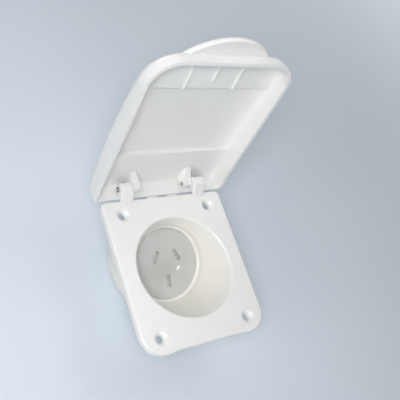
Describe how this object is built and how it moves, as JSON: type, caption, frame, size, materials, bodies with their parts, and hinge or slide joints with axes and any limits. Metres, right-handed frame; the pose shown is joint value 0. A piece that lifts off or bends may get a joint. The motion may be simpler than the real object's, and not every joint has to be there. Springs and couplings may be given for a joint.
{
  "type": "recessed mains socket with hinged lid",
  "caption": "Flush-mounted mains socket with an angled recessed cup, slotted socket face and a domed hinged weather lid, for a caravan, boat or panel wall.",
  "frame": {"origin": "centre of the four mounting screw holes, on the plate's back plane (the wall's surface)", "axes": "+Z out of the wall, +Y towards the lid's hinge, +X to the right seen from the front"},
  "size_m": [0.084, 0.1143, 0.1658],
  "materials": {
    "white_shell": "gloss moulded white",
    "white_insert": "semi-gloss moulded white",
    "cover_plastic": "fine matte white",
    "inner_plastic": "matte off-white",
    "contact_brass": "rolled strip",
    "terminal_brass": "sawn and drilled bar",
    "screw_steel": "zinc plated",
    "pin_steel": "drawn bright wire"
  },
  "bodies": {
    "housing": {"faceplate": "white_shell", "socket_face": "white_insert", "contact_block": "inner_plastic", "contact_active": "contact_brass", "terminal_active": "terminal_brass", "terminal_screw_active": "screw_steel", "contact_neutral": "contact_brass", "terminal_neutral": "terminal_brass", "terminal_screw_neutral": "screw_steel", "contact_earth": "contact_brass", "terminal_earth": "terminal_brass", "terminal_screw_earth": "screw_steel", "contact_carrier": "inner_plastic", "carrier_screws": "screw_steel", "rear_cover": "cover_plastic", "cord_clamp": "inner_plastic", "clamp_screws": "screw_steel", "hinge_pin_right": "pin_steel", "hinge_pin_left": "pin_steel"},
    "lid": {"lid": "white_shell"},
    "shutter": {"shutter": "white_insert"}
  },
  "joints": [
    {"name": "lid_hinge", "type": "hinge", "parent": "housing", "child": "lid", "pos_m": [0, 0.0486, 0.0058], "axis": [1, 0, 0], "range_deg": [0, 101.1]},
    {"name": "shutter_slide", "type": "slide", "parent": "housing", "child": "shutter", "axis": [1, 0, 0], "range_m": [0, 0.0032], "stiffness_N_per_m": 150, "springref_m": -0.002}
  ]
}
